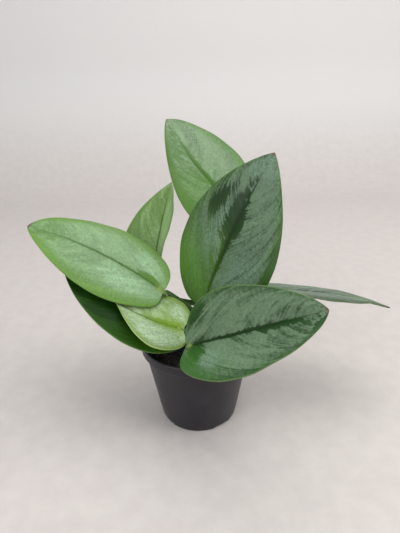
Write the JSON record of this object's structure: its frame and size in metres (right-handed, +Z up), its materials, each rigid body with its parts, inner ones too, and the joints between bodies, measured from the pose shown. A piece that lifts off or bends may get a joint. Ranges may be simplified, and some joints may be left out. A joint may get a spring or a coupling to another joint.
{
  "type": "potted scindapsus",
  "caption": "Young scindapsus with broad, pointed, silvery green leaves on short stalks, growing from potting mix in a round tapered black nursery pot with a collar.",
  "frame": {"origin": "centre of the flat round underside of the pot, on the surface that it stands on", "axes": "+Z up out of the pot, +Y away from the viewer of the plant's front, +X to that viewer's right"},
  "size_m": [0.3286, 0.2152, 0.2561],
  "materials": {
    "pot_plastic": "satin",
    "potting_mix": "matte",
    "stem": "satin",
    "roots": "matte",
    "petiole": "satin",
    "leaf_light": "satin",
    "leaf_dark": "satin",
    "leaf_young": "satin"
  },
  "bodies": {
    "root": {"pot": "pot_plastic", "potting_mix": "potting_mix", "stem_front": "stem", "stem_back": "stem", "roots_front": "roots", "roots_back": "roots", "petiole_top": "petiole", "petiole_centre": "petiole", "petiole_front": "petiole", "petiole_left": "petiole", "petiole_back": "petiole", "petiole_shaded": "petiole", "petiole_young": "petiole", "petiole_right": "petiole", "blade_top": "leaf_light", "blade_centre": "leaf_dark", "blade_front": "leaf_dark", "blade_left": "leaf_light", "blade_back": "leaf_light", "blade_shaded": "leaf_dark", "blade_young": "leaf_young", "blade_right": "leaf_dark"}
  },
  "joints": []
}
